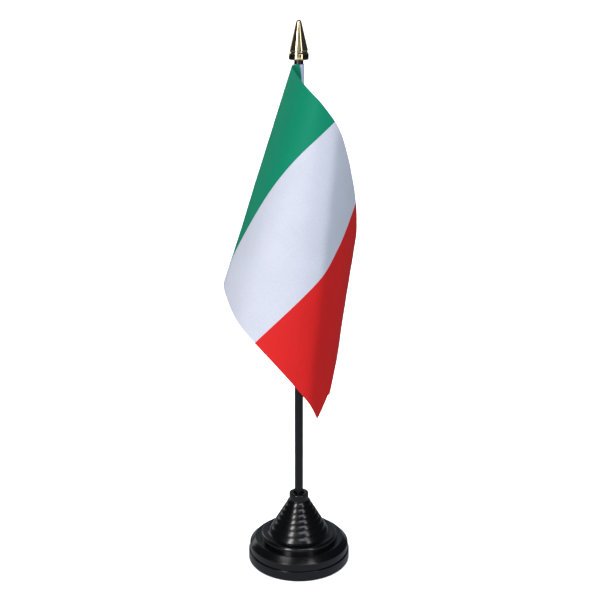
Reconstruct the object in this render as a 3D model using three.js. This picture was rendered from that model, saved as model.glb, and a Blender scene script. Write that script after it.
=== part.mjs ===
// Desk flag stand: a weighted round base, a push-in pole with a spear finial, and a
// printed table flag whose white sleeve turns on the pole.
// Millimetres, +Z up, origin on the pole axis at the underside of the base.
import * as THREE from "three";

// ---- driving dimensions ----
const HEIGHT = 294; // underside to the tip of the finial
const GAP = 0.3; // clearance between neighbouring pieces

const COVER_RADIUS = 28;
const SHELL_RADIUS = 27.4;
const SPLIT_HEIGHT = 5.8; // the groove between the bottom cover and the shell
const COLLAR_RADIUS = 5.3;
const COLLAR_TOP = 39.7;
const CONE_TOP = 36;
const RIDGE_HEIGHTS = [2.6, 2.6, 2.6, 2.6, 2.6, 3.2, 3.4]; // from the collar down
const CONE_FOOT_RADIUS = 16.7;
const PLATFORM_RADIUS = 21;
const PLATFORM_HEIGHT = 16.1;
const PLATFORM_WALL_FOOT = 12.6;
const CREST_RADIUS = 24.2; // where the sloping shoulder starts
const CREST_HEIGHT = 12.9;
const SHOULDER_EDGE = 9.85; // height of the shoulder's outer edge

const POLE_RADIUS = 2.3;
const SOCKET_FLOOR = 13.2;
const SOCKET_RADIUS = POLE_RADIUS + 0.07;
const MOUTH_RADIUS = 2.9; // wider mouth of the socket
const MOUTH_DEPTH = 2.6;

const FINIAL_FOOT = HEIGHT - 19.2;
const FINIAL_GRIP = 10; // depth of the hole that the pole is pushed into
const FINIAL_RADIUS = 4.9;

const FLAG_FLY = 150;
const FLAG_HOIST = 100;
const FLAG_TOP = 272.7; // top edge of the sleeve and of the cloth at the hoist
const CLOTH_THICKNESS = 0.5;
const SLEEVE_INNER = POLE_RADIUS + 0.15;
const SLEEVE_OUTER = SLEEVE_INNER + 0.3;

const ROUND_SEGMENTS = 36; // around the base
const SLIM_SEGMENTS = 24; // around the pole, the sleeve and the finial

// ---- helpers ----
const point = (radius, height) => new THREE.Vector2(radius, height);

// Points of a quarter ellipse that starts level at (r0, z0) and ends upright at (r1, z1).
function roundedCorner(r0, z0, r1, z1, steps) {
  const points = [];
  for (let i = 0; i <= steps; i += 1) {
    const angle = (i / steps) * (Math.PI / 2);
    const across = Math.sin(angle);
    const down = 1 - Math.cos(angle);
    points.push(point(r0 + (r1 - r0) * across, z0 + (z1 - z0) * down));
  }
  return points;
}

// Turns an outline of (radius, height) points about +Z.
function turned(points, segments) {
  const geometry = new THREE.LatheGeometry(points, segments);
  geometry.rotateX(Math.PI / 2);
  return geometry;
}

function part(name, geometry, colour, roughness, metalness) {
  const material = new THREE.MeshStandardMaterial({
    color: new THREE.Color(...colour),
    roughness,
    metalness,
  });
  const mesh = new THREE.Mesh(geometry, material);
  mesh.name = name;
  return mesh;
}

// ---- base ----
// Shallow beads stacked into the stepped cone, from the collar down.
function ridgePoints() {
  const groove = 0.28;
  const bulge = 0.22;
  const coneHeight = RIDGE_HEIGHTS.reduce((sum, height) => sum + height, 0);
  const points = [];
  let top = CONE_TOP;
  let radius = COLLAR_RADIUS;
  for (const height of RIDGE_HEIGHTS) {
    const low = top - height;
    const share = (CONE_TOP - low) / coneHeight;
    const wide = COLLAR_RADIUS + (CONE_FOOT_RADIUS - COLLAR_RADIUS) * share;
    points.push(point(radius, top - 0.06));
    points.push(point((radius + wide) / 2 + bulge, (top + low) / 2 + bulge / 2));
    points.push(point(wide, low + 0.12));
    points.push(point(wide - groove, low));
    top = low;
    radius = wide - groove;
  }
  return points;
}

function baseShell() {
  const wall = 1.5;
  const tubeRadius = 4.7; // outside of the socket tube, under the cone
  const seatRadius = SHELL_RADIUS - 1.4; // where the cover's wall plugs in
  const outline = [
    point(0, SOCKET_FLOOR),
    point(SOCKET_RADIUS, SOCKET_FLOOR),
    point(SOCKET_RADIUS, COLLAR_TOP - MOUTH_DEPTH - 0.5),
    point(MOUTH_RADIUS, COLLAR_TOP - MOUTH_DEPTH),
    point(MOUTH_RADIUS, COLLAR_TOP - 0.3),
    point(MOUTH_RADIUS + 0.3, COLLAR_TOP),
    ...roundedCorner(COLLAR_RADIUS - 0.5, COLLAR_TOP, COLLAR_RADIUS, COLLAR_TOP - 0.5, 3),
    ...ridgePoints(),
    point(CONE_FOOT_RADIUS - 0.2, PLATFORM_HEIGHT - 0.2),
    point(CONE_FOOT_RADIUS + 0.9, PLATFORM_HEIGHT - 0.35),
    ...roundedCorner(PLATFORM_RADIUS - 1.2, PLATFORM_HEIGHT, PLATFORM_RADIUS, PLATFORM_HEIGHT - 1.1, 4),
    point(PLATFORM_RADIUS + 0.1, PLATFORM_WALL_FOOT),
    point(CREST_RADIUS - 0.4, CREST_HEIGHT - 0.04),
    point(CREST_RADIUS + 0.25, CREST_HEIGHT - 0.25),
    point(SHELL_RADIUS - 0.3, SHOULDER_EDGE + 0.2),
    point(SHELL_RADIUS, SHOULDER_EDGE - 0.3),
    point(SHELL_RADIUS, SPLIT_HEIGHT + 0.15),
    point(seatRadius, SPLIT_HEIGHT + 0.15),
    point(seatRadius, SHOULDER_EDGE - 0.9),
    point(CREST_RADIUS - 0.6, CREST_HEIGHT - wall),
    point(PLATFORM_RADIUS - wall, PLATFORM_WALL_FOOT - wall),
    point(PLATFORM_RADIUS - wall, PLATFORM_HEIGHT - wall),
    point(CONE_FOOT_RADIUS - 1.8, PLATFORM_HEIGHT - wall),
    point(tubeRadius + 1.6, CONE_TOP - 5.6),
    point(tubeRadius, CONE_TOP - 5.6),
    point(tubeRadius, SOCKET_FLOOR - wall),
    point(0, SOCKET_FLOOR - wall),
  ];
  return turned(outline.reverse(), ROUND_SEGMENTS);
}

// The moulded cover that closes the base from below; its upright wall plugs into the shell.
const COVER_FLOOR = 3; // upper face of the cover's disc
const COVER_TOP = SPLIT_HEIGHT + 1.9;
const COVER_WALL_RADIUS = SHELL_RADIUS - 1.7;
const RECESS_RADIUS = COVER_RADIUS - 3.4;

function bottomCover() {
  const outline = [
    point(0, COVER_FLOOR),
    point(COVER_WALL_RADIUS - 1.2, COVER_FLOOR),
    point(COVER_WALL_RADIUS - 1.2, COVER_TOP),
    point(COVER_WALL_RADIUS, COVER_TOP),
    point(COVER_WALL_RADIUS, SPLIT_HEIGHT - 0.15),
    point(COVER_RADIUS - 0.2, SPLIT_HEIGHT - 0.15),
    point(COVER_RADIUS, SPLIT_HEIGHT - 0.35),
    point(COVER_RADIUS, GAP + 0.5),
    point(COVER_RADIUS - 0.3, GAP),
    point(RECESS_RADIUS, GAP),
    point(RECESS_RADIUS, 1.4),
    point(0, 1.4),
  ];
  return turned(outline.reverse(), ROUND_SEGMENTS);
}

// The steel ring that weights the base, lying on the cover's disc.
function ballastRing() {
  const inner = 6;
  const outer = COVER_WALL_RADIUS - 1.6;
  const low = COVER_FLOOR + GAP;
  const high = 8.4;
  const outline = [
    point(inner, low),
    point(outer, low),
    point(outer, high - 0.5),
    point(outer - 0.5, high),
    point(inner, high),
    point(inner, low),
  ];
  return turned(outline, ROUND_SEGMENTS);
}

// The foam disc in the cover's recess, which the whole stand rests on.
function footPad() {
  const radius = RECESS_RADIUS - GAP;
  const outline = [point(0, 0), point(radius, 0), point(radius, 1.4 - GAP), point(0, 1.4 - GAP)];
  return turned(outline, ROUND_SEGMENTS);
}

// ---- pole and finial ----
function pole() {
  const foot = SOCKET_FLOOR + GAP;
  const top = FINIAL_FOOT + FINIAL_GRIP - GAP;
  const chamfer = 0.4;
  const outline = [
    point(0, foot),
    point(POLE_RADIUS - chamfer, foot),
    point(POLE_RADIUS, foot + chamfer),
    point(POLE_RADIUS, top - chamfer),
    point(POLE_RADIUS - chamfer, top),
    point(0, top),
  ];
  return turned(outline, SLIM_SEGMENTS);
}

// A plain cone over a groove and a short round collar, bored from below for the pole.
function spearFinial() {
  const bore = POLE_RADIUS + 0.1;
  const tip = 1.3; // radius of the rounded tip
  const grooveRadius = 4.3;
  const coneFoot = FINIAL_FOOT + 5;
  const outline = [
    point(0, FINIAL_FOOT + FINIAL_GRIP),
    point(bore, FINIAL_FOOT + FINIAL_GRIP),
    point(bore, FINIAL_FOOT + 0.3),
    point(bore + 0.4, FINIAL_FOOT),
    point(FINIAL_RADIUS - 0.35, FINIAL_FOOT),
    point(FINIAL_RADIUS, FINIAL_FOOT + 0.5),
    point(FINIAL_RADIUS, FINIAL_FOOT + 2.9),
    point(FINIAL_RADIUS - 0.35, FINIAL_FOOT + 3.4),
    point(grooveRadius, FINIAL_FOOT + 3.8),
    point(grooveRadius, FINIAL_FOOT + 4.2),
    point(grooveRadius + 0.15, coneFoot - 0.3),
    point(grooveRadius + 0.15, coneFoot),
    point(tip + 0.05, HEIGHT - tip + 0.2),
    point(tip * 0.8, HEIGHT - tip * 0.4),
    point(tip * 0.4, HEIGHT - tip * 0.08),
    point(0, HEIGHT),
  ];
  return turned(outline, SLIM_SEGMENTS);
}

// ---- flag ----
// The sleeve is a plain tube round the pole, as long as the hoist.
function flagSleeve() {
  const low = FLAG_TOP - FLAG_HOIST;
  const outline = [
    point(SLEEVE_INNER, low),
    point(SLEEVE_OUTER, low),
    point(SLEEVE_OUTER, FLAG_TOP),
    point(SLEEVE_INNER, FLAG_TOP),
    point(SLEEVE_INNER, low),
  ];
  return turned(outline, SLIM_SEGMENTS);
}

// The sewing thread that closes the sleeve, lying along its front beside the hoist.
function hoistStitching() {
  const radius = 0.12;
  const geometry = new THREE.CylinderGeometry(radius, radius, FLAG_HOIST - 4, 6);
  geometry.rotateX(Math.PI / 2);
  geometry.translate(0.6, -(SLEEVE_OUTER + GAP + radius), FLAG_TOP - FLAG_HOIST / 2);
  return geometry;
}

// The cloth is cut flat, FLAG_FLY along u by FLAG_HOIST down v, and only bends: it turns
// about straight lines, which start on its top edge and slant away from the hoist.
const HOIST_LINE = new THREE.Vector3(0.2, -3.25, FLAG_TOP);
const LEAVING_DIRECTION = 170; // degrees from +X, where the cloth leaves the sleeve
const BENDS = [
  // start on the top edge, slant from upright in the cloth, turn since the hoist (degrees)
  { start: 0, slant: 0, turn: 0 },
  { start: 3, slant: 16, turn: 57 },
  { start: 6.5, slant: 29, turn: 120 },
  { start: 15, slant: 31, turn: 126 },
  { start: 33.5, slant: 31, turn: 160 },
  { start: 39, slant: 41, turn: 205 },
  { start: 48, slant: 41, turn: 217 },
  { start: 57, slant: 41, turn: 243 },
  { start: 67.5, slant: 46, turn: 252 },
  { start: 106, slant: 28, turn: 262 },
  { start: 121, slant: 24, turn: 270 },
  { start: 150, slant: 24, turn: 286 },
];

// A curve through one value of the bends with no overshoot, read at a distance from the hoist.
function easedBend(key, distance) {
  const rates = BENDS.slice(1).map((b, i) => (b[key] - BENDS[i][key]) / (b.start - BENDS[i].start));
  const tangents = BENDS.map((bend, i) => {
    if (i === 0) return rates[0];
    if (i === rates.length) return rates[i - 1];
    const [before, after] = [rates[i - 1], rates[i]];
    return before * after > 0 ? (2 * before * after) / (before + after) : 0;
  });
  const next = BENDS.findIndex((bend) => bend.start >= distance);
  const i = Math.min(Math.max(next - 1, 0), rates.length - 1);
  const length = BENDS[i + 1].start - BENDS[i].start;
  const t = (distance - BENDS[i].start) / length;
  return (
    BENDS[i][key] * (1 + 2 * t) * (1 - t) ** 2 +
    length * tangents[i] * t * (1 - t) ** 2 +
    BENDS[i + 1][key] * t * t * (3 - 2 * t) +
    length * tangents[i + 1] * t * t * (t - 1)
  );
}

// The bend lines, each with the flat frame (corner, along, down, normal) of the cloth beyond it.
function bentFrames() {
  const heading = THREE.MathUtils.degToRad(LEAVING_DIRECTION);
  const along = new THREE.Vector3(Math.cos(heading), Math.sin(heading), 0);
  const down = new THREE.Vector3(0, 0, -1);
  const corner = HOIST_LINE.clone();
  const frames = [];
  const keep = (start, slant) => {
    const normal = along.clone().cross(down);
    frames.push({ start, slant, corner: corner.clone(), along: along.clone(), down: down.clone(), normal });
  };
  keep(0, 0);
  const linesPerBend = 6;
  for (let i = 1; i < BENDS.length; i += 1) {
    const step = (BENDS[i].start - BENDS[i - 1].start) / linesPerBend;
    for (let j = 0; j < linesPerBend; j += 1) {
      const start = BENDS[i - 1].start + (j + 0.5) * step;
      const slant = THREE.MathUtils.degToRad(easedBend("slant", start));
      const turnHere = easedBend("turn", start + step / 2) - easedBend("turn", start - step / 2);
      const turn = THREE.MathUtils.degToRad(turnHere);
      const hinge = corner.clone().addScaledVector(along, start);
      const axis = along.clone().multiplyScalar(-Math.sin(slant)).addScaledVector(down, -Math.cos(slant));
      axis.normalize();
      along.applyAxisAngle(axis, turn);
      down.applyAxisAngle(axis, turn);
      corner.copy(hinge).addScaledVector(along, -start);
      keep(start, slant);
    }
  }
  return frames;
}

// Where the cloth's flat point (u, v) lies in space, moved off its middle by offset.
function bentPoint(frames, u, v, offset) {
  let frame = frames[0];
  for (const next of frames.slice(1)) {
    const past = (u - next.start) * Math.cos(next.slant) - v * Math.sin(next.slant);
    if (past > 0) frame = next;
  }
  return frame.corner
    .clone()
    .addScaledVector(frame.along, u)
    .addScaledVector(frame.down, v)
    .addScaledVector(frame.normal, offset);
}

// Closed thin shell over a grid that is finer towards the top of the hoist.
function flagCloth() {
  const columns = 36;
  const rows = 20;
  const frames = bentFrames();
  const positions = [];
  for (const side of [0.5, -0.5]) {
    for (let i = 0; i <= columns; i += 1) {
      for (let j = 0; j <= rows; j += 1) {
        const u = FLAG_FLY * (i / columns) ** 1.6;
        const v = FLAG_HOIST * (j / rows) ** 1.3;
        positions.push(...bentPoint(frames, u, v, side * CLOTH_THICKNESS).toArray());
      }
    }
  }
  const layer = (columns + 1) * (rows + 1);
  const at = (side, i, j) => side * layer + i * (rows + 1) + j;
  const faces = [];
  const quad = (a, b, c, d) => faces.push(a, b, c, a, c, d);
  for (let i = 0; i < columns; i += 1) {
    for (let j = 0; j < rows; j += 1) {
      quad(at(0, i, j), at(0, i + 1, j), at(0, i + 1, j + 1), at(0, i, j + 1));
      quad(at(1, i, j), at(1, i, j + 1), at(1, i + 1, j + 1), at(1, i + 1, j));
    }
    quad(at(0, i, 0), at(1, i, 0), at(1, i + 1, 0), at(0, i + 1, 0));
    quad(at(0, i, rows), at(0, i + 1, rows), at(1, i + 1, rows), at(1, i, rows));
  }
  for (let j = 0; j < rows; j += 1) {
    quad(at(0, 0, j), at(0, 0, j + 1), at(1, 0, j + 1), at(1, 0, j));
    quad(at(0, columns, j), at(1, columns, j), at(1, columns, j + 1), at(0, columns, j + 1));
  }
  const geometry = new THREE.BufferGeometry();
  geometry.setAttribute("position", new THREE.Float32BufferAttribute(positions, 3));
  geometry.setIndex(faces);
  return geometry;
}

// ---- assembly ----
const BLACK = [0.012, 0.012, 0.015];
const stand = new THREE.Group();
stand.add(
  part("base_shell", baseShell(), BLACK, 0.25, 0),
  part("bottom_cover", bottomCover(), BLACK, 0.3, 0),
  part("ballast_ring", ballastRing(), [0.35, 0.35, 0.36], 0.5, 1),
  part("foot_pad", footPad(), [0.02, 0.02, 0.02], 0.95, 0),
  part("pole", pole(), BLACK, 0.3, 0),
  part("spear_finial", spearFinial(), [0.75, 0.62, 0.36], 0.15, 1),
);

const flag = new THREE.Group();
flag.add(
  part("flag_sleeve", flagSleeve(), [0.7, 0.72, 0.82], 0.8, 0),
  part("hoist_stitching", hoistStitching(), [0.75, 0.76, 0.82], 0.8, 0),
  part("flag_cloth", flagCloth(), [0.7, 0.72, 0.82], 0.8, 0),
);
stand.add(flag);

export default stand;
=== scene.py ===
"""Looks of the desk flag stand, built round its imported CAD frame.

The frame is in metres with +Z up. Outlines and the flag's cut are written in millimetres
and scaled by MM when a mesh is made. Azimuths are in degrees from the front (-Y), positive
towards +X; elevations are above the horizon.
"""
import math

import bmesh
import bpy
import numpy as np
from mathutils import Matrix, Vector, noise


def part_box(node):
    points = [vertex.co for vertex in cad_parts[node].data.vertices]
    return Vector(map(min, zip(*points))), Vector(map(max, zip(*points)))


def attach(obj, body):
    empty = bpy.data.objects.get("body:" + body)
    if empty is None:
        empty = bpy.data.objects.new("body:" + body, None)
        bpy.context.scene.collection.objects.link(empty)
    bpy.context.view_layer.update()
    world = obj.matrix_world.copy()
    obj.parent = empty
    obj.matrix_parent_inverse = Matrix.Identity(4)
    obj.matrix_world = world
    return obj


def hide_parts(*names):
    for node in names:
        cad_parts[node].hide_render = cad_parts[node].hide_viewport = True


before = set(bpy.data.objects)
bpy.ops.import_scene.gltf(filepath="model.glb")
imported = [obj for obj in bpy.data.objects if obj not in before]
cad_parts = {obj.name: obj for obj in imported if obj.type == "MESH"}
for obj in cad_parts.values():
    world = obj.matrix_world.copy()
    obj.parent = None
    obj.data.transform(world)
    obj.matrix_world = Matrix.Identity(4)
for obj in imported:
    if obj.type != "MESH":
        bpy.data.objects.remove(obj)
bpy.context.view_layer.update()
MM = 0.001


def span(node):
    """A CAD node's (lowest height, highest height, outer radius), in millimetres."""
    low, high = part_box(node)
    return low.z / MM, high.z / MM, high.x / MM


# ---- sizes read from the frame ----
_, COLLAR_TOP, SHELL_RADIUS = span("base_shell")
COVER_LOW, COVER_TOP, COVER_RADIUS = span("bottom_cover")
PAD_LOW, PAD_TOP, PAD_RADIUS = span("foot_pad")
POLE_LOW, POLE_TOP, POLE_RADIUS = span("pole")
FINIAL_FOOT, HEIGHT, FINIAL_RADIUS = span("spear_finial")
SLEEVE_LOW, FLAG_TOP, SLEEVE_RADIUS = span("flag_sleeve")
FLAG_HOIST = FLAG_TOP - SLEEVE_LOW


# ---- camera: a little higher than the finial's tip, looking down at the whole stand ----
CAMERA_PLACE = (0.0006, -0.5802, 0.3336)  # metres
CAMERA_PITCH = 17.482  # degrees below level
CAMERA_LENS = 69.67  # millimetres, before a sensor of SENSOR_WIDTH
SENSOR_WIDTH = 36


def make_camera():
    camera = bpy.data.objects.new("camera", bpy.data.cameras.new("camera"))
    bpy.context.scene.collection.objects.link(camera)
    camera.location = CAMERA_PLACE
    camera.rotation_euler = (math.radians(90 - CAMERA_PITCH), 0, 0)
    camera.data.lens = CAMERA_LENS
    camera.data.sensor_width = SENSOR_WIDTH
    camera.data.clip_start = 0.01
    bpy.context.scene.camera = camera


# ---- mesh helpers ----
def make_piece(name, verts, faces, materials, face_materials=None, sharp=35):
    """Links a smooth-shaded mesh of millimetre points, with edges over sharp degrees kept crisp."""
    mesh = bpy.data.meshes.new(name)
    mesh.from_pydata([tuple(c * MM for c in v) for v in verts], [], faces)
    for material in materials:
        mesh.materials.append(material)
    if face_materials is not None:
        mesh.polygons.foreach_set("material_index", face_materials)
    mesh.shade_smooth()
    mesh.set_sharp_from_angle(angle=math.radians(sharp))
    mesh.update()
    piece = bpy.data.objects.new(name, mesh)
    bpy.context.scene.collection.objects.link(piece)
    return piece


def rounded(corners, steps=5):
    """Outline points from (radius, height) corners; a third number rounds that corner."""
    points = []
    count = len(corners)
    for i, corner in enumerate(corners):
        here = Vector(corner[:2])
        if len(corner) == 2:
            points.append(tuple(here))
            continue
        back = Vector(corners[i - 1][:2]) - here
        ahead = Vector(corners[(i + 1) % count][:2]) - here
        half = back.angle(ahead) / 2
        reach = min(corner[2] / math.tan(half), 0.48 * back.length, 0.48 * ahead.length)
        radius = reach * math.tan(half)
        centre = here + (back.normalized() + ahead.normalized()).normalized() * (radius / math.sin(half))
        first = here + back.normalized() * reach - centre
        last = here + ahead.normalized() * reach - centre
        start = math.atan2(first.y, first.x)
        turn = math.remainder(math.atan2(last.y, last.x) - start, 2 * math.pi)
        for k in range(steps + 1):
            angle = start + turn * k / steps
            points.append((centre.x + radius * math.cos(angle), centre.y + radius * math.sin(angle)))
    return points


def quarter(r0, z0, r1, z1, steps=8):
    """A quarter ellipse that starts level at (r0, z0) and ends upright at (r1, z1)."""
    turns = [k / steps * math.pi / 2 for k in range(steps + 1)]
    return [(r0 + (r1 - r0) * math.sin(a), z0 + (z1 - z0) * (1 - math.cos(a))) for a in turns]


def turned(name, outline, segments, material):
    """A solid turned about Z from an outline that starts on the axis below and ends on it above."""
    verts, rings, faces = [], [], []
    for radius, height in outline:
        first = len(verts)
        if radius < 1e-6:
            verts.append((0, 0, height))
            rings.append([first])
            continue
        angles = [2 * math.pi * k / segments for k in range(segments)]
        verts.extend((radius * math.cos(a), radius * math.sin(a), height) for a in angles)
        rings.append(list(range(first, first + segments)))
    for low, high in zip(rings, rings[1:]):
        for k in range(segments):
            m = (k + 1) % segments
            corners = [low[k % len(low)], low[m % len(low)], high[m % len(high)], high[k % len(high)]]
            faces.append(list(dict.fromkeys(corners)))
    return make_piece(name, verts, faces, [material])


# ---- material helpers ----
class Nodes:
    """A material's node tree, with short calls to add nodes, math and links."""

    def __init__(self, name):
        self.material = bpy.data.materials.new(name)
        self.material.use_nodes = True
        self.tree = self.material.node_tree
        self.shader = self.tree.nodes["Principled BSDF"]

    def add(self, kind, **inputs):
        node = self.tree.nodes.new(kind)
        for name, value in inputs.items():
            self.feed(node.inputs[name.replace("_", " ")], value)
        return node

    def feed(self, socket, value):
        if isinstance(value, bpy.types.NodeSocket):
            self.tree.links.new(value, socket)
        else:
            socket.default_value = value

    def math(self, operation, *values):
        node = self.tree.nodes.new("ShaderNodeMath")
        node.operation = operation
        for socket, value in zip(node.inputs, values):
            self.feed(socket, value)
        return node.outputs[0]

    def noise(self, vector, scale, detail=2.0):
        node = self.add("ShaderNodeTexNoise", Vector=vector, Scale=scale, Detail=detail)
        return node.outputs["Fac"]

    def scaled(self, vector, factors):
        node = self.tree.nodes.new("ShaderNodeVectorMath")
        node.operation = "MULTIPLY"
        self.feed(node.inputs[0], vector)
        self.feed(node.inputs[1], factors)
        return node.outputs[0]

    def blend(self, amount, dark, light):
        node = self.tree.nodes.new("ShaderNodeMix")
        node.data_type = "RGBA"
        self.feed(node.inputs["Factor"], amount)
        self.feed(node.inputs[6], (*dark, 1))
        self.feed(node.inputs[7], (*light, 1))
        return node.outputs[2]

    def spread(self, value, low, high):
        """Maps 0..1 to low..high."""
        node = self.add("ShaderNodeMapRange", Value=value, To_Min=low, To_Max=high)
        return node.outputs[0]

    def bump(self, height, distance, strength=1.0, normal=None):
        node = self.add("ShaderNodeBump", Height=height, Distance=distance, Strength=strength)
        if normal is not None:
            self.feed(node.inputs["Normal"], normal)
        return node.outputs[0]

    def fading(self, place, strength, half):
        """A strength that falls with distance from the origin, to one half at the distance half."""
        length = self.tree.nodes.new("ShaderNodeVectorMath")
        length.operation = "LENGTH"
        self.feed(length.inputs[0], place)
        share = self.math("DIVIDE", length.outputs["Value"], half)
        return self.math("DIVIDE", strength, self.math("ADD", self.math("POWER", share, 2.0), 1.0))

    def set(self, **inputs):
        for name, value in inputs.items():
            self.feed(self.shader.inputs[name.replace("_", " ")], value)
        return self.material


def object_place(nodes):
    return nodes.add("ShaderNodeTexCoord").outputs["Object"]


def shaded(colour, factor):
    return tuple(c * factor for c in colour)


# ---- materials ----
def moulded_plastic(name, colour, gloss):
    """Black injection-moulded plastic: slow waviness, a fine grain and patches of duller gloss."""
    nodes = Nodes(name)
    place = object_place(nodes)
    waves = nodes.noise(place, 160.0, 1.0)
    grain = nodes.noise(place, 5200.0, 2.0)
    patches = nodes.noise(place, 420.0, 3.0)
    normal = nodes.bump(grain, 0.000006, 0.6, nodes.bump(waves, 0.00006, 0.5))
    return nodes.set(
        Base_Color=nodes.blend(patches, shaded(colour, 0.8), shaded(colour, 1.25)),
        Roughness=nodes.spread(patches, gloss - 0.04, gloss + 0.06),
        IOR=1.59,
        Normal=normal,
    )


def gold_plating():
    """Metallised plastic, bright pale gold with faint waves and thin wear in the plating."""
    nodes = Nodes("gold_plating")
    place = object_place(nodes)
    waves = nodes.noise(place, 260.0, 1.0)
    specks = nodes.noise(place, 3800.0, 2.0)
    return nodes.set(
        Base_Color=nodes.blend(specks, (0.74, 0.61, 0.36), (0.88, 0.76, 0.49)),
        Metallic=1.0,
        Roughness=nodes.spread(specks, 0.07, 0.15),
        Normal=nodes.bump(waves, 0.00005, 0.5),
    )


def ground_steel():
    """Turned steel of the ballast ring, with fine round tool marks."""
    nodes = Nodes("ground_steel")
    place = object_place(nodes)
    rings = nodes.add("ShaderNodeTexWave", Vector=place, Scale=900.0, Distortion=1.5)
    rings.wave_type = "RINGS"
    rings.rings_direction = "Z"
    stains = nodes.noise(place, 90.0, 4.0)
    return nodes.set(
        Base_Color=nodes.blend(stains, (0.28, 0.28, 0.29), (0.45, 0.45, 0.46)),
        Metallic=1.0,
        Roughness=nodes.spread(stains, 0.32, 0.5),
        Normal=nodes.bump(rings.outputs["Fac"], 0.00002, 0.5),
    )


def black_foam():
    """Fine-celled rubber foam."""
    nodes = Nodes("black_foam")
    place = object_place(nodes)
    cells = nodes.add("ShaderNodeTexVoronoi", Vector=place, Scale=1800.0).outputs["Distance"]
    return nodes.set(
        Base_Color=nodes.blend(cells, (0.012, 0.012, 0.013), (0.035, 0.035, 0.037)),
        Roughness=0.95,
        Normal=nodes.bump(cells, 0.0002, 0.8),
    )


def woven(name, colour, pitch=0.42):
    """Plain-woven polyester: threads over and under, thick places in the yarn, clouds and flecks.

    The UV map runs in millimetres, u across the warp threads and v along them. pitch is the
    distance between threads.
    """
    slub_rate = 0.06  # thick places per millimetre along a thread
    cloud_rate = 0.05
    fleck_rate = 1.1
    translucency = 0.14
    nodes = Nodes(name)
    flat = nodes.add("ShaderNodeUVMap").outputs["UV"]
    axes = nodes.add("ShaderNodeSeparateXYZ", Vector=flat)
    turn = math.pi / pitch
    warp = nodes.math("SINE", nodes.math("MULTIPLY", axes.outputs[0], turn))
    weft = nodes.math("SINE", nodes.math("MULTIPLY", axes.outputs[1], turn))
    crossing = nodes.math("MULTIPLY", warp, weft)
    warp_slubs = nodes.noise(nodes.scaled(flat, (1 / pitch, slub_rate, 1)), 1.0, 1.0)
    weft_slubs = nodes.noise(nodes.scaled(flat, (slub_rate, 1 / pitch, 1)), 1.0, 1.0)
    slubs = nodes.math("MULTIPLY", nodes.math("ADD", warp_slubs, weft_slubs), 0.5)
    clouds = nodes.noise(nodes.scaled(flat, (cloud_rate, cloud_rate, 1)), 1.0, 2.0)
    flecks = nodes.math("SUBTRACT", nodes.noise(flat, fleck_rate, 3.0), 0.5)
    patches = nodes.math("ADD", clouds, nodes.math("MULTIPLY", flecks, 1.3))
    unevenness = nodes.math("ADD", slubs, patches)
    tone = nodes.math("ADD", nodes.math("MULTIPLY", crossing, 0.22), unevenness)
    amount = nodes.math("MULTIPLY", tone, 0.5)
    cloth_colour = nodes.blend(amount, shaded(colour, 0.86), shaded(colour, 1.10))
    threads = nodes.math("MULTIPLY", crossing, 0.5)
    height = nodes.math("ADD", threads, nodes.math("MULTIPLY", slubs, 1.4))
    normal = nodes.bump(height, 0.00004, 0.55)
    nodes.set(
        Base_Color=cloth_colour,
        Roughness=0.6,
        Specular_IOR_Level=0.16,
        Normal=normal,
    )
    through = nodes.add("ShaderNodeBsdfTranslucent", Color=cloth_colour, Normal=normal)
    mixed = nodes.tree.nodes.new("ShaderNodeMixShader")
    mixed.inputs[0].default_value = translucency
    nodes.tree.links.new(nodes.shader.outputs[0], mixed.inputs[1])
    nodes.tree.links.new(through.outputs[0], mixed.inputs[2])
    nodes.tree.links.new(mixed.outputs[0], nodes.tree.nodes["Material Output"].inputs["Surface"])
    return nodes.material


def sewing_thread():
    """Twisted polyester thread, dyed to match the green stripe at the hoist."""
    nodes = Nodes("sewing_thread")
    place = object_place(nodes)
    twist = nodes.add("ShaderNodeTexWave", Vector=place, Scale=1500.0, Distortion=2.0)
    twist.bands_direction = "DIAGONAL"
    strands = twist.outputs["Fac"]
    return nodes.set(
        Base_Color=nodes.blend(strands, (0.008, 0.16, 0.09), (0.02, 0.30, 0.18)),
        Roughness=0.6,
        Sheen_Weight=0.3,
        Normal=nodes.bump(strands, 0.00004, 0.7),
    )


# Linear colours of the plastic, the printed bands and the sleeve.
BLACK = (0.0022, 0.0022, 0.0030)
GREEN = (0.003, 0.280, 0.150)
WHITE = (0.715, 0.728, 0.812)
RED = (0.780, 0.019, 0.018)
TAPE = (0.650, 0.680, 0.860)


# ---- base ----
SPLIT = COVER_TOP - 1.9  # height of the groove between cover and shell
COLLAR_RADIUS = 5.3
CONE_TOP = COLLAR_TOP - 3.7
RIDGE_HEIGHTS = (2.6, 2.6, 2.6, 2.6, 2.6, 3.2, 3.4)  # from the collar down
CONE_FOOT = CONE_TOP - sum(RIDGE_HEIGHTS)
CONE_FOOT_RADIUS = 16.7
PLATFORM = 16.1
PLATFORM_RADIUS = 21.0
PLATFORM_WALL_FOOT = 12.6
CREST = 12.9
CREST_RADIUS = 24.2
SHOULDER_EDGE = 9.85  # lower end of the slope that starts at the crest
SOCKET_FLOOR = POLE_LOW - 0.3
SOCKET_RADIUS = POLE_RADIUS + 0.07
MOUTH_RADIUS = 2.9
MOUTH_DEPTH = 2.6


def bulging(r0, z0, r1, z1, bulge, steps=10):
    """A shallow outward curve from (r0, z0) down to (r1, z1)."""
    chord = Vector((r1 - r0, z1 - z0))
    outward = Vector((-chord.y, chord.x)).normalized()
    points = []
    for k in range(steps + 1):
        t = k / steps
        here = Vector((r0, z0)) + chord * t + outward * (bulge * 4 * t * (1 - t))
        points.append(tuple(here))
    return points


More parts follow.
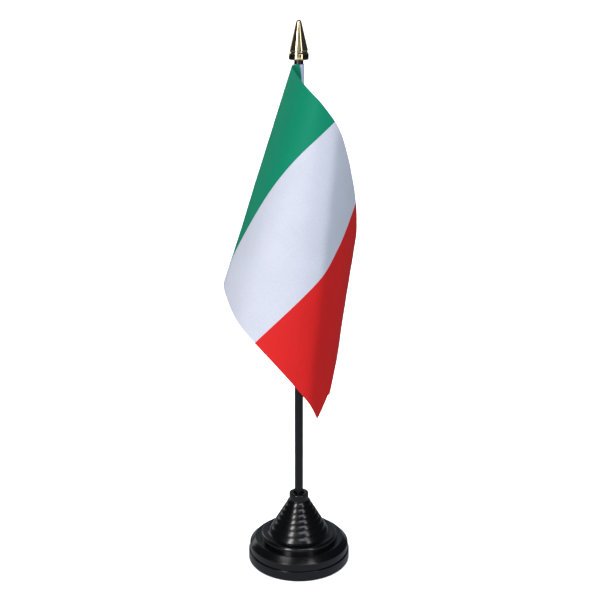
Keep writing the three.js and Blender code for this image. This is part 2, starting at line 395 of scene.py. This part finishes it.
def ridge_points():
    """The stepped cone, from the collar down: shallow beads with a fine groove under each."""
    groove = 0.28  # depth of the groove
    groove_above, groove_below = 0.12, 0.06  # how far it reaches into the ridge over and under it
    bulge = 0.22
    spread = CONE_FOOT_RADIUS - COLLAR_RADIUS
    points = []
    top, radius = CONE_TOP, COLLAR_RADIUS
    for height in RIDGE_HEIGHTS:
        low = top - height
        wide = COLLAR_RADIUS + spread * (CONE_TOP - low) / (CONE_TOP - CONE_FOOT)
        points += bulging(radius, top - groove_below, wide, low + groove_above, bulge)
        points.append((wide - groove, low))
        top, radius = low, wide - groove
    return points


def make_base_shell(material):
    wall = 1.5
    tube = 4.7  # outer radius of the socket's tube
    seat = SHELL_RADIUS - 1.4  # inner radius of the rim, round the cover's plug
    hollow_top = CONE_TOP - 5.6
    edge = 1.7  # rounding of the platform's rim
    socket = rounded([
        (0, SOCKET_FLOOR),
        (SOCKET_RADIUS, SOCKET_FLOOR, 0.2),
        (SOCKET_RADIUS, COLLAR_TOP - MOUTH_DEPTH - 0.5, 0.2),
        (MOUTH_RADIUS, COLLAR_TOP - MOUTH_DEPTH, 0.2),
        (MOUTH_RADIUS, COLLAR_TOP - 0.3, 0.3),
        (MOUTH_RADIUS + 0.3, COLLAR_TOP),
    ])
    collar = quarter(COLLAR_RADIUS - 0.5, COLLAR_TOP, COLLAR_RADIUS, COLLAR_TOP - 0.5)
    collar.append((COLLAR_RADIUS, CONE_TOP + 0.1))
    platform = rounded([
        (CONE_FOOT_RADIUS - 0.2, PLATFORM - 0.2, 0.3),
        (CONE_FOOT_RADIUS + 0.9, PLATFORM - 0.35, 0.6),
        (PLATFORM_RADIUS - 2.0, PLATFORM, 1.0),
    ])
    platform += quarter(PLATFORM_RADIUS - edge, PLATFORM, PLATFORM_RADIUS, PLATFORM - edge)
    shoulder = rounded([
        (PLATFORM_RADIUS + 0.1, PLATFORM_WALL_FOOT, 0.3),
        (CREST_RADIUS, CREST, 0.5),
        (SHELL_RADIUS - 0.1, SHOULDER_EDGE, 0.35),
        (SHELL_RADIUS, SPLIT + 0.05, 0.15),
        (seat, SPLIT + 0.05, 0.1),
        (seat, SHOULDER_EDGE - 0.9, 0.4),
        (CREST_RADIUS - 0.6, CREST - wall, 0.5),
        (PLATFORM_RADIUS - wall, PLATFORM_WALL_FOOT - wall, 0.5),
        (PLATFORM_RADIUS - wall, PLATFORM - wall, 0.5),
        (CONE_FOOT_RADIUS - 1.8, PLATFORM - wall, 0.6),
        (tube + 1.6, hollow_top, 0.5),
        (tube, hollow_top, 0.4),
        (tube, SOCKET_FLOOR - wall, 0.3),
        (0, SOCKET_FLOOR - wall),
    ])
    outline = socket + collar + ridge_points() + platform + shoulder
    return turned("moulded_base", outline[::-1], 192, material)


def make_bottom_cover(material):
    plug = SHELL_RADIUS - 1.7  # outer radius of the ring that enters the shell
    plug_wall = 1.2
    recess = COVER_RADIUS - 3.4
    ceiling = 1.4  # top of the recess that holds the foot pad
    disc = 3.0
    outline = rounded([
        (0, ceiling),
        (recess, ceiling, 0.1),
        (recess, COVER_LOW, 0.15),
        (COVER_RADIUS - 0.3, COVER_LOW, 0.2),
        (COVER_RADIUS, COVER_LOW + 0.5, 0.3),
        (COVER_RADIUS, SPLIT - 0.05, 0.2),
        (plug, SPLIT - 0.05, 0.1),
        (plug, COVER_TOP, 0.25),
        (plug - plug_wall, COVER_TOP, 0.25),
        (plug - plug_wall, disc, 0.4),
        (0, disc),
    ])
    return turned("moulded_cover", outline, 192, material)


def make_foot_pad(material):
    outline = rounded([
        (0, PAD_LOW),
        (PAD_RADIUS, PAD_LOW, 0.25),
        (PAD_RADIUS, PAD_TOP, 0.15),
        (0, PAD_TOP),
    ])
    return turned("foam_foot_pad", outline, 128, material)


# ---- pole and finial ----
def make_pole(material):
    chamfer = 0.4
    outline = rounded([
        (0, POLE_LOW),
        (POLE_RADIUS, POLE_LOW, chamfer),
        (POLE_RADIUS, POLE_TOP, chamfer),
        (0, POLE_TOP),
    ])
    return turned("round_pole", outline, 72, material)


def make_finial(material):
    bore = POLE_RADIUS + 0.1
    bore_end = FINIAL_FOOT + 10
    tip = 1.3
    waist = 4.3
    cone_foot = FINIAL_FOOT + 5
    wall = rounded([
        (0, bore_end),
        (bore, bore_end, 0.2),
        (bore, FINIAL_FOOT + 0.3, 0.2),
        (bore + 0.4, FINIAL_FOOT, 0.15),
        (FINIAL_RADIUS - 0.3, FINIAL_FOOT, 0.35),
        (FINIAL_RADIUS, FINIAL_FOOT + 0.5, 0.5),
        (FINIAL_RADIUS, FINIAL_FOOT + 2.9, 0.6),
        (FINIAL_RADIUS - 0.4, FINIAL_FOOT + 3.5, 0.4),
        (waist, FINIAL_FOOT + 3.8, 0.15),
        (waist, FINIAL_FOOT + 4.25, 0.15),
        (waist + 0.25, FINIAL_FOOT + 4.6, 0.2),
        (waist + 0.15, cone_foot + 0.1, 0.2),
        (tip + 0.03, HEIGHT - tip + 0.25),
    ])
    cap = quarter(0, HEIGHT, tip, HEIGHT - tip, 10)[::-1]
    return turned("gold_finial", wall + cap[1:], 144, material)


# ---- sleeve: a tape wrapped round the pole, its tail lying under the flag's hoist ----
TAPE_THICKNESS = 0.22
TAPE_RADIUS = SLEEVE_RADIUS - 0.13  # middle of the tape where it hugs the pole
TAPE_START_RADIUS = TAPE_RADIUS + 0.36  # where it leaves the pole for its tail
TAPE_START = -100.0  # degrees from +X
TAPE_TURN = 345.0
TAPE_TAIL = 2.0


def smooth(t):
    """0 below 0 and 1 above 1, with an even rise between them."""
    t = min(max(t, 0.0), 1.0)
    return t * t * (3 - 2 * t)


def tape_radius(degrees):
    """Middle radius of the tape, falling from its start to where it hugs the pole."""
    settle = 45.0  # degrees
    share = smooth((degrees - TAPE_START) / settle)
    return TAPE_START_RADIUS + (TAPE_RADIUS - TAPE_START_RADIUS) * share


def tape_path():
    """Points of the tape's middle line seen from above, from the end of its tail."""
    start = math.radians(TAPE_START)
    first = Vector((math.cos(start), math.sin(start))) * TAPE_START_RADIUS
    tail = Vector((math.sin(start), -math.cos(start)))
    tail_steps = 6
    points = [first + tail * (TAPE_TAIL * k / tail_steps) for k in range(tail_steps, 0, -1)]
    steps = 96
    for k in range(steps + 1):
        degrees = TAPE_START + TAPE_TURN * k / steps
        angle = math.radians(degrees)
        points.append(Vector((math.cos(angle), math.sin(angle))) * tape_radius(degrees))
    return points


def thin_sheet(name, grid, normals, thickness, uvs, materials, column_materials=None):
    """A closed thin cloth from a grid of middle points: two faces and a narrow edge all round."""
    columns, rows = grid.shape[:2]
    half = normals * (thickness / 2)
    verts = np.concatenate([(grid + half).reshape(-1, 3), (grid - half).reshape(-1, 3)])
    layer = columns * rows
    faces, corner_of, kinds = [], [], []

    def quad(corners, column):
        faces.append(corners)
        corner_of.extend(c % layer for c in corners)
        kinds.append(column_materials[column] if column_materials else 0)

    def at(side, i, j):
        return side * layer + i * rows + j

    for i in range(columns - 1):
        for j in range(rows - 1):
            quad((at(0, i, j), at(0, i + 1, j), at(0, i + 1, j + 1), at(0, i, j + 1)), i)
            quad((at(1, i, j), at(1, i, j + 1), at(1, i + 1, j + 1), at(1, i + 1, j)), i)
        last = rows - 1
        quad((at(0, i, 0), at(1, i, 0), at(1, i + 1, 0), at(0, i + 1, 0)), i)
        quad((at(0, i, last), at(0, i + 1, last), at(1, i + 1, last), at(1, i, last)), i)
    for j in range(rows - 1):
        last = columns - 1
        quad((at(0, 0, j), at(0, 0, j + 1), at(1, 0, j + 1), at(1, 0, j)), 0)
        quad((at(0, last, j), at(1, last, j), at(1, last, j + 1), at(0, last, j + 1)), last - 1)
    piece = make_piece(name, verts.tolist(), faces, materials, kinds, sharp=60)
    layer_uv = piece.data.uv_layers.new(name="UVMap")
    flat = uvs.reshape(-1, 2)[corner_of]
    layer_uv.data.foreach_set("uv", flat.astype(np.float32).ravel())
    return piece


def make_sleeve(material):
    """The wrapped tape and the width that it was cut to."""
    path = tape_path()
    rows = 81
    ripple_depth = 0.05
    heights = np.linspace(FLAG_TOP, SLEEVE_LOW, rows)
    lengths = [0.0]
    for a, b in zip(path, path[1:]):
        lengths.append(lengths[-1] + (b - a).length)
    grid = np.zeros((len(path), rows, 3))
    normals = np.zeros_like(grid)
    uvs = np.zeros((len(path), rows, 2))
    for i, point in enumerate(path):
        ahead = path[min(i + 1, len(path) - 1)] - path[max(i - 1, 0)]
        outward = Vector((ahead.y, -ahead.x)).normalized()
        for j, height in enumerate(heights):
            ripple = ripple_depth * noise.noise(Vector((lengths[i] * 0.5, height * 0.09, 3.0)))
            middle = point + outward * ripple
            grid[i, j] = (middle.x, middle.y, height)
            normals[i, j] = (outward.x, outward.y, 0)
            uvs[i, j] = (lengths[i], FLAG_TOP - height)
    piece = thin_sheet("sleeve_tape", grid, normals, TAPE_THICKNESS, uvs, [material])
    return piece, lengths[-1]


# ---- flag ----
FLAG_FLY = 150.0
STRIPE = FLAG_FLY / 3
CLOTH_THICKNESS = 0.2
HOIST_LINE = (0.2, -3.25)  # where the cloth leaves the sleeve, seen from above
LEAVING_DIRECTION = 170.0  # degrees from +X
LAP = 1.3  # cloth that lies over the sleeve, right of the hoist line
LAP_GAP = 0.06  # between the lap and the sleeve
BENDS = [
    # start on the top edge, slant from upright in the cloth, turn since the hoist (degrees)
    (0, 0, 0),
    (3, 16, 57),
    (6.5, 29, 120),
    (15, 31, 126),
    (33.5, 31, 160),
    (39, 41, 205),
    (48, 41, 217),
    (57, 41, 243),
    (67.5, 46, 252),
    (106, 28, 262),
    (121, 24, 270),
    (150, 24, 286),
]


def eased(xs, ys, x):
    """A curve through the points (xs, ys) with no overshoot, read at x."""
    xs, ys = np.asarray(xs, float), np.asarray(ys, float)
    widths, rises = np.diff(xs), np.diff(ys)
    slopes = rises / widths
    tangents = np.concatenate([[slopes[0]], np.zeros(len(xs) - 2), [slopes[-1]]])
    for i in range(1, len(xs) - 1):
        if slopes[i - 1] * slopes[i] > 0:
            tangents[i] = 2 * slopes[i - 1] * slopes[i] / (slopes[i - 1] + slopes[i])
    i = int(np.clip(np.searchsorted(xs, x) - 1, 0, len(widths) - 1))
    t = (x - xs[i]) / widths[i]
    h = widths[i]
    return (
        ys[i] * (1 + 2 * t) * (1 - t) ** 2
        + h * tangents[i] * t * (1 - t) ** 2
        + ys[i + 1] * t * t * (3 - 2 * t)
        + h * tangents[i + 1] * t * t * (t - 1)
    )


def bend_frames(lines_per_bend=16):
    """The cloth's bend lines, each with the flat frame of the cloth beyond it."""
    heading = math.radians(LEAVING_DIRECTION)
    along = Vector((math.cos(heading), math.sin(heading), 0))
    down = Vector((0, 0, -1))
    corner = Vector((*HOIST_LINE, FLAG_TOP))
    starts, slants, turns = zip(*BENDS)
    frames = [(0.0, 0.0, corner.copy(), along.copy(), down.copy())]
    for first, last in zip(starts, starts[1:]):
        step = (last - first) / lines_per_bend
        for k in range(lines_per_bend):
            start = first + (k + 0.5) * step
            slant = math.radians(eased(starts, slants, start))
            turn = eased(starts, turns, start + step / 2) - eased(starts, turns, start - step / 2)
            hinge = corner + along * start
            axis = -(along * math.sin(slant) + down * math.cos(slant))
            turning = Matrix.Rotation(math.radians(turn), 3, axis)
            along = turning @ along
            down = turning @ down
            corner = hinge - along * start
            frames.append((start, slant, corner.copy(), along.copy(), down.copy()))
    return frames


def hang_cloth(u, v):
    """Where the cloth's flat points (u along the top, v down) hang, with the surface's normals."""
    frames = bend_frames()
    which = np.zeros(u.shape, int)
    for k, (start, slant, *_) in enumerate(frames[1:], 1):
        which[(u - start) * math.cos(slant) - v * math.sin(slant) > 0] = k
    corner, along, down = (np.array([f[n] for f in frames])[which] for n in (2, 3, 4))
    points = corner + along * u[..., None] + down * v[..., None]
    return points, np.cross(along, down)


def resting_radius(degrees):
    """Middle radius of cloth that lies on the sleeve."""
    return tape_radius(degrees) + TAPE_THICKNESS / 2 + CLOTH_THICKNESS / 2 + LAP_GAP


def lap_over_sleeve(u, v):
    """Where a flat point with u < 0 lies on the front of the sleeve, and its normal."""
    settle = 25.0  # degrees in which the cloth comes down from the hoist line to the sleeve
    first = math.atan2(HOIST_LINE[1], HOIST_LINE[0])
    reach = math.hypot(*HOIST_LINE)
    angle = first - u / reach
    degrees = math.degrees(angle)
    lifted = 1 - smooth((degrees - math.degrees(first)) / settle)
    radius = resting_radius(degrees) + (reach - resting_radius(math.degrees(first))) * lifted
    outward = Vector((math.cos(angle), math.sin(angle), 0))
    return outward * radius + Vector((0, 0, FLAG_TOP - v)), outward


def cloth_columns():
    """Flat distances from the hoist, closest near it, with a column on each stripe's edge."""
    near = STRIPE * np.linspace(0, 1, 76) ** 1.35
    middle = np.linspace(STRIPE, 2 * STRIPE, 46)[1:]
    far = np.linspace(2 * STRIPE, FLAG_FLY, 44)[1:]
    return np.concatenate([near, middle, far])


def ripple_height(u, v):
    """Small unevenness of real cloth, in millimetres: none at the hoist, most at the free edges."""
    free = min(u / 40, 1.0)
    near_lower_edge = smooth((v - 80) / 20)
    near_far_edge = smooth((u - 125) / 25)
    edge = max(near_lower_edge, near_far_edge)
    slow = noise.noise(Vector((u * 0.030, v * 0.030, 1.7)))
    small = noise.noise(Vector((u * 0.11, v * 0.11, 8.3)))
    return free * ((0.35 + 0.5 * edge) * slow + 0.10 * small)


def make_flag(green, white, red):
    """The cloth with its lap. The lap starts narrow at the top and widens over a few millimetres."""
    rows = 112
    laps = 8
    top_lap = 0.4
    widening = 7
    down = FLAG_HOIST * np.linspace(0, 1, rows) ** 1.2
    columns = cloth_columns()
    u = np.broadcast_to(columns[:, None], (len(columns), rows)).copy()
    v = np.broadcast_to(down[None, :], u.shape).copy()
    points, normals = hang_cloth(u, v)
    for i in range(len(columns)):
        for j in range(rows):
            points[i, j] += normals[i, j] * ripple_height(u[i, j], v[i, j])
    lap_points = np.zeros((laps, rows, 3))
    lap_normals = np.zeros_like(lap_points)
    lap_uv = np.zeros((laps, rows, 2))
    for j in range(rows):
        width = top_lap + (LAP - top_lap) * smooth(down[j] / widening)
        for k in range(laps):
            across = -width * (laps - k) / laps
            place, outward = lap_over_sleeve(across, down[j])
            lap_points[k, j] = place
            lap_normals[k, j] = outward
            lap_uv[k, j] = (across, down[j])
    grid = np.concatenate([lap_points, points])
    facing = np.concatenate([lap_normals, normals])
    uvs = np.concatenate([lap_uv, np.stack([u, v], axis=-1)])
    stripes = [0] * laps + [min(int(c // STRIPE + 1e-6), 2) for c in columns]
    return thin_sheet("flag_sheet", grid, facing, CLOTH_THICKNESS, uvs, [green, white, red], stripes)


def make_stitches(material):
    """Lock stitches down the lap: short arches of thread, each dipping into the cloth at its ends."""
    pitch = 2.4
    length = 1.8
    radius = 0.11
    inset = 0.6  # from the hoist line into the lap
    first_middle = 2.5  # from the top edge to the middle of the first stitch
    clear = 4  # left free at the two ends together
    sides, stations = 8, 7
    verts, faces = [], []
    count = int((FLAG_HOIST - clear) / pitch)
    for n in range(count):
        middle = first_middle + n * pitch
        rings = []
        for s in range(stations):
            t = s / (stations - 1)
            place, outward = lap_over_sleeve(-inset, middle + (t - 0.5) * length)
            arch = math.sin(math.pi * t)
            lift = CLOTH_THICKNESS / 2 + radius * (1.1 * arch - 0.6)
            centre = place + outward * lift
            thick = radius * 0.3
            if 0 < s < stations - 1:
                thick = radius * (0.45 + 0.55 * arch ** 0.5)
            side = outward.cross(Vector((0, 0, 1)))
            first = len(verts)
            for k in range(sides):
                a = 2 * math.pi * k / sides
                verts.append(tuple(centre + (outward * math.cos(a) + side * math.sin(a)) * thick))
            rings.append(first)
        for a, b in zip(rings, rings[1:]):
            for k in range(sides):
                m = (k + 1) % sides
                faces.append((a + k, a + m, b + m, b + k))
        faces.append(tuple(rings[0] + k for k in reversed(range(sides))))
        faces.append(tuple(rings[-1] + k for k in range(sides)))
    piece = make_piece("hoist_stitches", verts, faces, [material])
    face_out(piece)
    return piece


def face_out(piece):
    """Turns every closed shell's faces outwards."""
    shell = bmesh.new()
    shell.from_mesh(piece.data)
    bmesh.ops.recalc_face_normals(shell, faces=shell.faces)
    shell.to_mesh(piece.data)
    shell.free()


# ---- studio ----
LIGHT_DISTANCE = 1.4  # metres
LIGHT_TARGET = (0, 0, 0.15)  # the middle of the stand, in metres


def make_softbox(name, azimuth, elevation, size, strength, colour, mirrored=True):
    """An area light that faces the middle of the stand. size is (width, height) in metres.

    A box that is not mirrored lights the cloth but leaves no highlight on glossy pieces.
    """
    light = bpy.data.lights.new(name, "AREA")
    light.shape = "RECTANGLE"
    light.size, light.size_y = size
    light.energy = strength * size[0] * size[1] * math.pi
    light.color = colour
    lamp = bpy.data.objects.new(name, light)
    bpy.context.scene.collection.objects.link(lamp)
    a, e = math.radians(azimuth), math.radians(elevation)
    away = Vector((math.sin(a) * math.cos(e), -math.cos(a) * math.cos(e), math.sin(e)))
    lamp.location = Vector(LIGHT_TARGET) + away * LIGHT_DISTANCE
    lamp.rotation_euler = away.to_track_quat("Z", "Y").to_euler()
    lamp.visible_camera = False
    lamp.visible_glossy = mirrored


def make_lights():
    make_softbox("key_box", -33.5, 20, (0.27, 1.2), 10.8, (1.0, 0.98, 0.98))
    make_softbox("key_fill", -42, 24, (0.50, 1.0), 1.4, (1.0, 0.92, 0.98), mirrored=False)
    make_softbox("key_top_box", -48, 57, (0.45, 0.35), 2.2, (1.0, 0.98, 0.98))
    make_softbox("front_box", 14, 41, (0.55, 0.34), 3.6, (0.80, 0.93, 1.0))
    make_softbox("right_box", 37, 25, (0.22, 1.55), 3.7, (1.0, 0.95, 1.0))
    make_softbox("right_fill", 74, 25, (0.50, 1.3), 2.1, (0.78, 0.92, 1.0), mirrored=False)
    make_softbox("low_band", -6, -3.5, (2.3, 0.07), 1.1, (1.0, 0.97, 0.93))
    make_softbox("front_glow", -6, 14, (1.0, 1.0), 0.34, (1.0, 0.97, 0.90))
    make_softbox("left_back_box", -140, 18, (0.40, 0.9), 1.2, (1.0, 1.0, 1.0))
    make_softbox("back_glow", 180, 22, (2.2, 0.9), 0.22, (0.75, 0.90, 1.0))


def make_world():
    """White behind the object for the camera, a dim bluish room for every other ray."""
    world = bpy.data.worlds.new("studio")
    bpy.context.scene.world = world
    world.use_nodes = True
    tree = world.node_tree
    rays = tree.nodes.new("ShaderNodeLightPath")
    shader = tree.nodes["Background"]
    shader.inputs["Color"].default_value = (0.72, 0.87, 1.0, 1)
    shader.inputs["Strength"].default_value = 0.40
    for kind, colour, strength in (
        ("Is Glossy Ray", (0.80, 0.90, 1.0, 1), 0.04),
        ("Is Camera Ray", (1, 1, 1, 1), 1.0),
    ):
        seen = tree.nodes.new("ShaderNodeBackground")
        seen.inputs["Color"].default_value = colour
        seen.inputs["Strength"].default_value = strength
        mixed = tree.nodes.new("ShaderNodeMixShader")
        tree.links.new(rays.outputs[kind], mixed.inputs[0])
        tree.links.new(shader.outputs[0], mixed.inputs[1])
        tree.links.new(seen.outputs[0], mixed.inputs[2])
        shader = mixed
    tree.links.new(shader.outputs[0], tree.nodes["World Output"].inputs["Surface"])


def make_floor():
    """A pale table under the stand, with its own lamp so that it stays near white.

    Glossy pieces mirror it as a glow that fades with distance, and it bounces little light.
    """
    nodes = Nodes("pale_floor")
    place = object_place(nodes)
    tone = nodes.noise(place, 3.0, 2.0)
    nodes.set(
        Base_Color=nodes.blend(tone, (0.86, 0.86, 0.86), (0.9, 0.9, 0.9)),
        Roughness=0.9,
        Specular_IOR_Level=0.1,
    )
    rays = nodes.add("ShaderNodeLightPath")
    bounce = nodes.add("ShaderNodeBsdfDiffuse", Color=(0.08, 0.08, 0.085, 1))
    glow = nodes.fading(place, 0.34, 0.5)
    mirrored = nodes.add("ShaderNodeEmission", Color=(0.88, 0.93, 1.06, 1), Strength=glow)
    shader = bounce
    for kind, seen in (("Is Glossy Ray", mirrored), ("Is Camera Ray", nodes.shader)):
        mixed = nodes.add("ShaderNodeMixShader", Fac=rays.outputs[kind])
        nodes.tree.links.new(shader.outputs[0], mixed.inputs[1])
        nodes.tree.links.new(seen.outputs[0], mixed.inputs[2])
        shader = mixed
    nodes.tree.links.new(shader.outputs[0], nodes.tree.nodes["Material Output"].inputs["Surface"])
    reach = 6.0
    mesh = bpy.data.meshes.new("floor")
    corners = [(-reach, -reach, 0), (reach, -reach, 0), (reach, reach, 0), (-reach, reach, 0)]
    mesh.from_pydata(corners, [], [(0, 1, 2, 3)])
    mesh.materials.append(nodes.material)
    floor = bpy.data.objects.new("floor", mesh)
    bpy.context.scene.collection.objects.link(floor)
    lamp = bpy.data.objects.new("floor_lamp", bpy.data.lights.new("floor_lamp", "SUN"))
    lamp.data.energy = 4.6
    lamp.data.angle = math.radians(120)
    bpy.context.scene.collection.objects.link(lamp)
    only_floor = bpy.data.collections.new("lit_by_floor_lamp")
    only_floor.objects.link(floor)
    lamp.light_linking.receiver_collection = only_floor


# ---- assembly ----
def put(piece, body, slot, *nodes):
    """Rides a piece on its body in place of its CAD nodes; slot is not used."""
    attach(piece, body)
    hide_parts(*nodes)


make_camera()
make_world()
make_lights()
make_floor()

black = moulded_plastic("gloss_black_plastic", BLACK, 0.20)
base = make_base_shell(black)
cover = make_bottom_cover(black)
pad = make_foot_pad(black_foam())
pole = make_pole(moulded_plastic("black_pole", BLACK, 0.30))
finial = make_finial(gold_plating())
for solid in (base, cover, pad, pole, finial):
    face_out(solid)

sleeve, tape_width = make_sleeve(woven("sleeve_tape_cloth", TAPE, pitch=0.34))
cloths = [woven(f"{n}_polyester", c) for n, c in (("green", GREEN), ("white", WHITE), ("red", RED))]
flag = make_flag(*cloths)
stitches = make_stitches(sewing_thread())

put(base, "base", "gloss_black", "base_shell")
put(cover, "base", "gloss_black", "bottom_cover")
put(pad, "base", "pad_foam", "foot_pad")
put(pole, "pole", "pole_black", "pole")
put(finial, "finial", "gold_metallised", "spear_finial")
put(sleeve, "flag", "sleeve_fabric", "flag_sleeve")
put(stitches, "flag", "thread", "hoist_stitching")
put(flag, "flag", "flag_fabric", "flag_cloth")
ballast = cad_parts["ballast_ring"]
ballast.data.materials.clear()
ballast.data.materials.append(ground_steel())

bpy.context.scene.view_settings.view_transform = "Standard"
